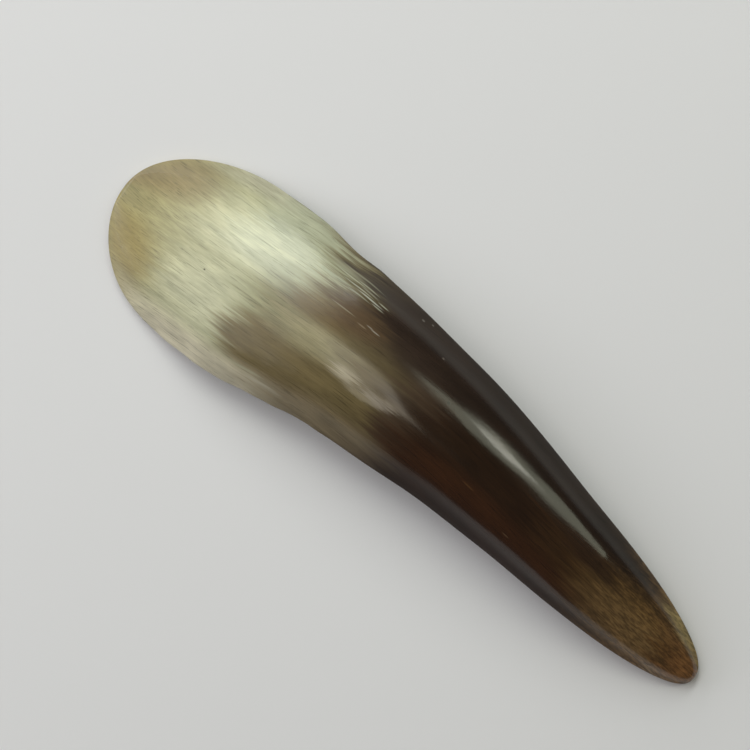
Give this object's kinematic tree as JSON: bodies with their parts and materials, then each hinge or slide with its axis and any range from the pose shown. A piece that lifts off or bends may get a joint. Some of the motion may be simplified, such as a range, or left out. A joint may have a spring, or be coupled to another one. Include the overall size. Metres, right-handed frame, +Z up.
{
  "type": "shoehorn",
  "caption": "Shoehorn of polished cattle horn: a thin scooped blade, a gutter-shaped shank and a solid rounded tip as its grip.",
  "frame": {"origin": "on the surface it lies on, below the middle of its bounding box", "axes": "+X along its length from the blade's end to the grip's tip, +Z up out of its convex back, hollow side down"},
  "size_m": [0.18, 0.046, 0.0205],
  "materials": {
    "horn": "polished cattle horn, cream and tan at the blade and dark brown at the grip"
  },
  "bodies": {
    "root": {"shoehorn": "horn"}
  },
  "joints": []
}
